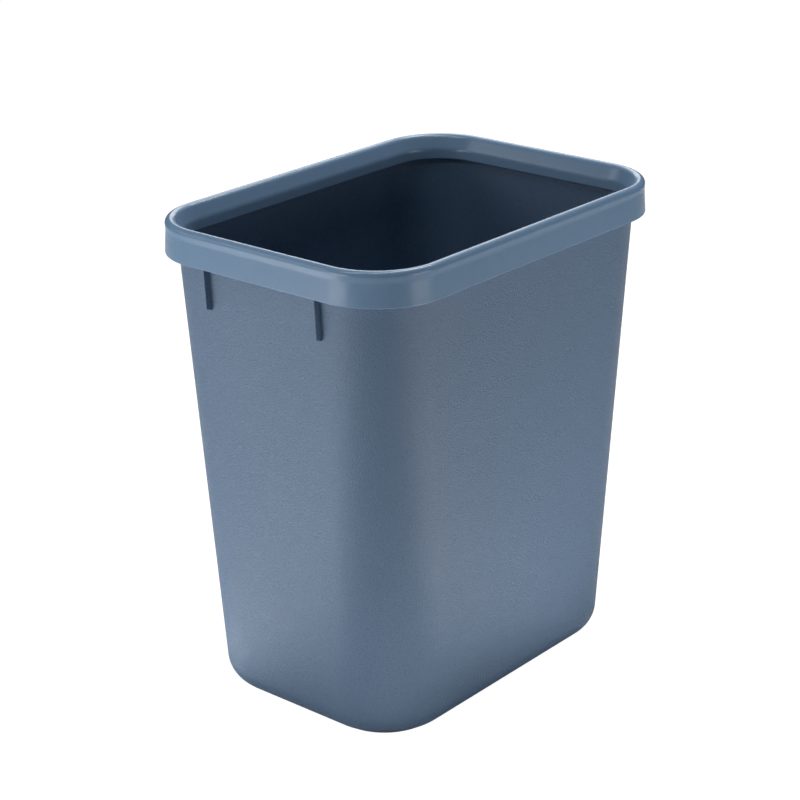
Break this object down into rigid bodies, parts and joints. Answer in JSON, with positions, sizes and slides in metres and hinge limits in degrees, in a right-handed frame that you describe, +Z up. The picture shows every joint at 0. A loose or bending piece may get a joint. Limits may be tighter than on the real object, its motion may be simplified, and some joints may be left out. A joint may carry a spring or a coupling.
{
  "type": "wastebasket",
  "caption": "Tapered rectangular office wastebasket with rounded corners and a lift-off ring that clamps the liner round its mouth.",
  "frame": {"origin": "centre of the footprint, on the plane the foot stands on", "axes": "+Z up, from the foot to the mouth; X along the long sides; Y along the short sides"},
  "size_m": [0.2692, 0.1928, 0.3],
  "materials": {
    "grained_plastic": "fine matte grain",
    "smooth_plastic": "smooth satin"
  },
  "bodies": {
    "bin": {"bin_body": "grained_plastic"},
    "ring": {"liner_ring": "smooth_plastic"}
  },
  "joints": [
    {"name": "ring_lift", "type": "slide", "parent": "bin", "child": "ring", "axis": [0, 0, 1], "range_m": [0, 0.06]}
  ]
}
